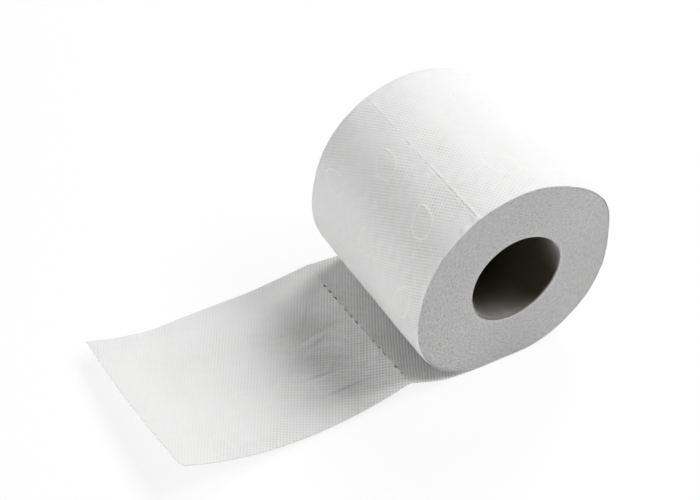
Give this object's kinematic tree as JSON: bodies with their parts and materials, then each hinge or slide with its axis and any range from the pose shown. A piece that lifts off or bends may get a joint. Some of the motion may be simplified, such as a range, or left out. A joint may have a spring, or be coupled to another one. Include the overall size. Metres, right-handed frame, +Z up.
{
  "type": "toilet paper roll",
  "caption": "Soft white toilet paper roll on a cardboard core, lying on its side with its first sheet unrolled from underneath.",
  "frame": {"origin": "middle of the core's bore, on the roll's axis", "axes": "+Y along the roll's axis, away from the end that faces the viewer; the loose sheet leaves towards -X; +Z is up from the ground that the roll rests on"},
  "size_m": [0.2213, 0.096, 0.1011],
  "materials": {
    "core_board": "matte grey-brown wound board",
    "tissue_paper": "matte white embossed tissue"
  },
  "bodies": {
    "root": {"core_tube": "core_board", "paper_roll": "tissue_paper"}
  },
  "joints": []
}
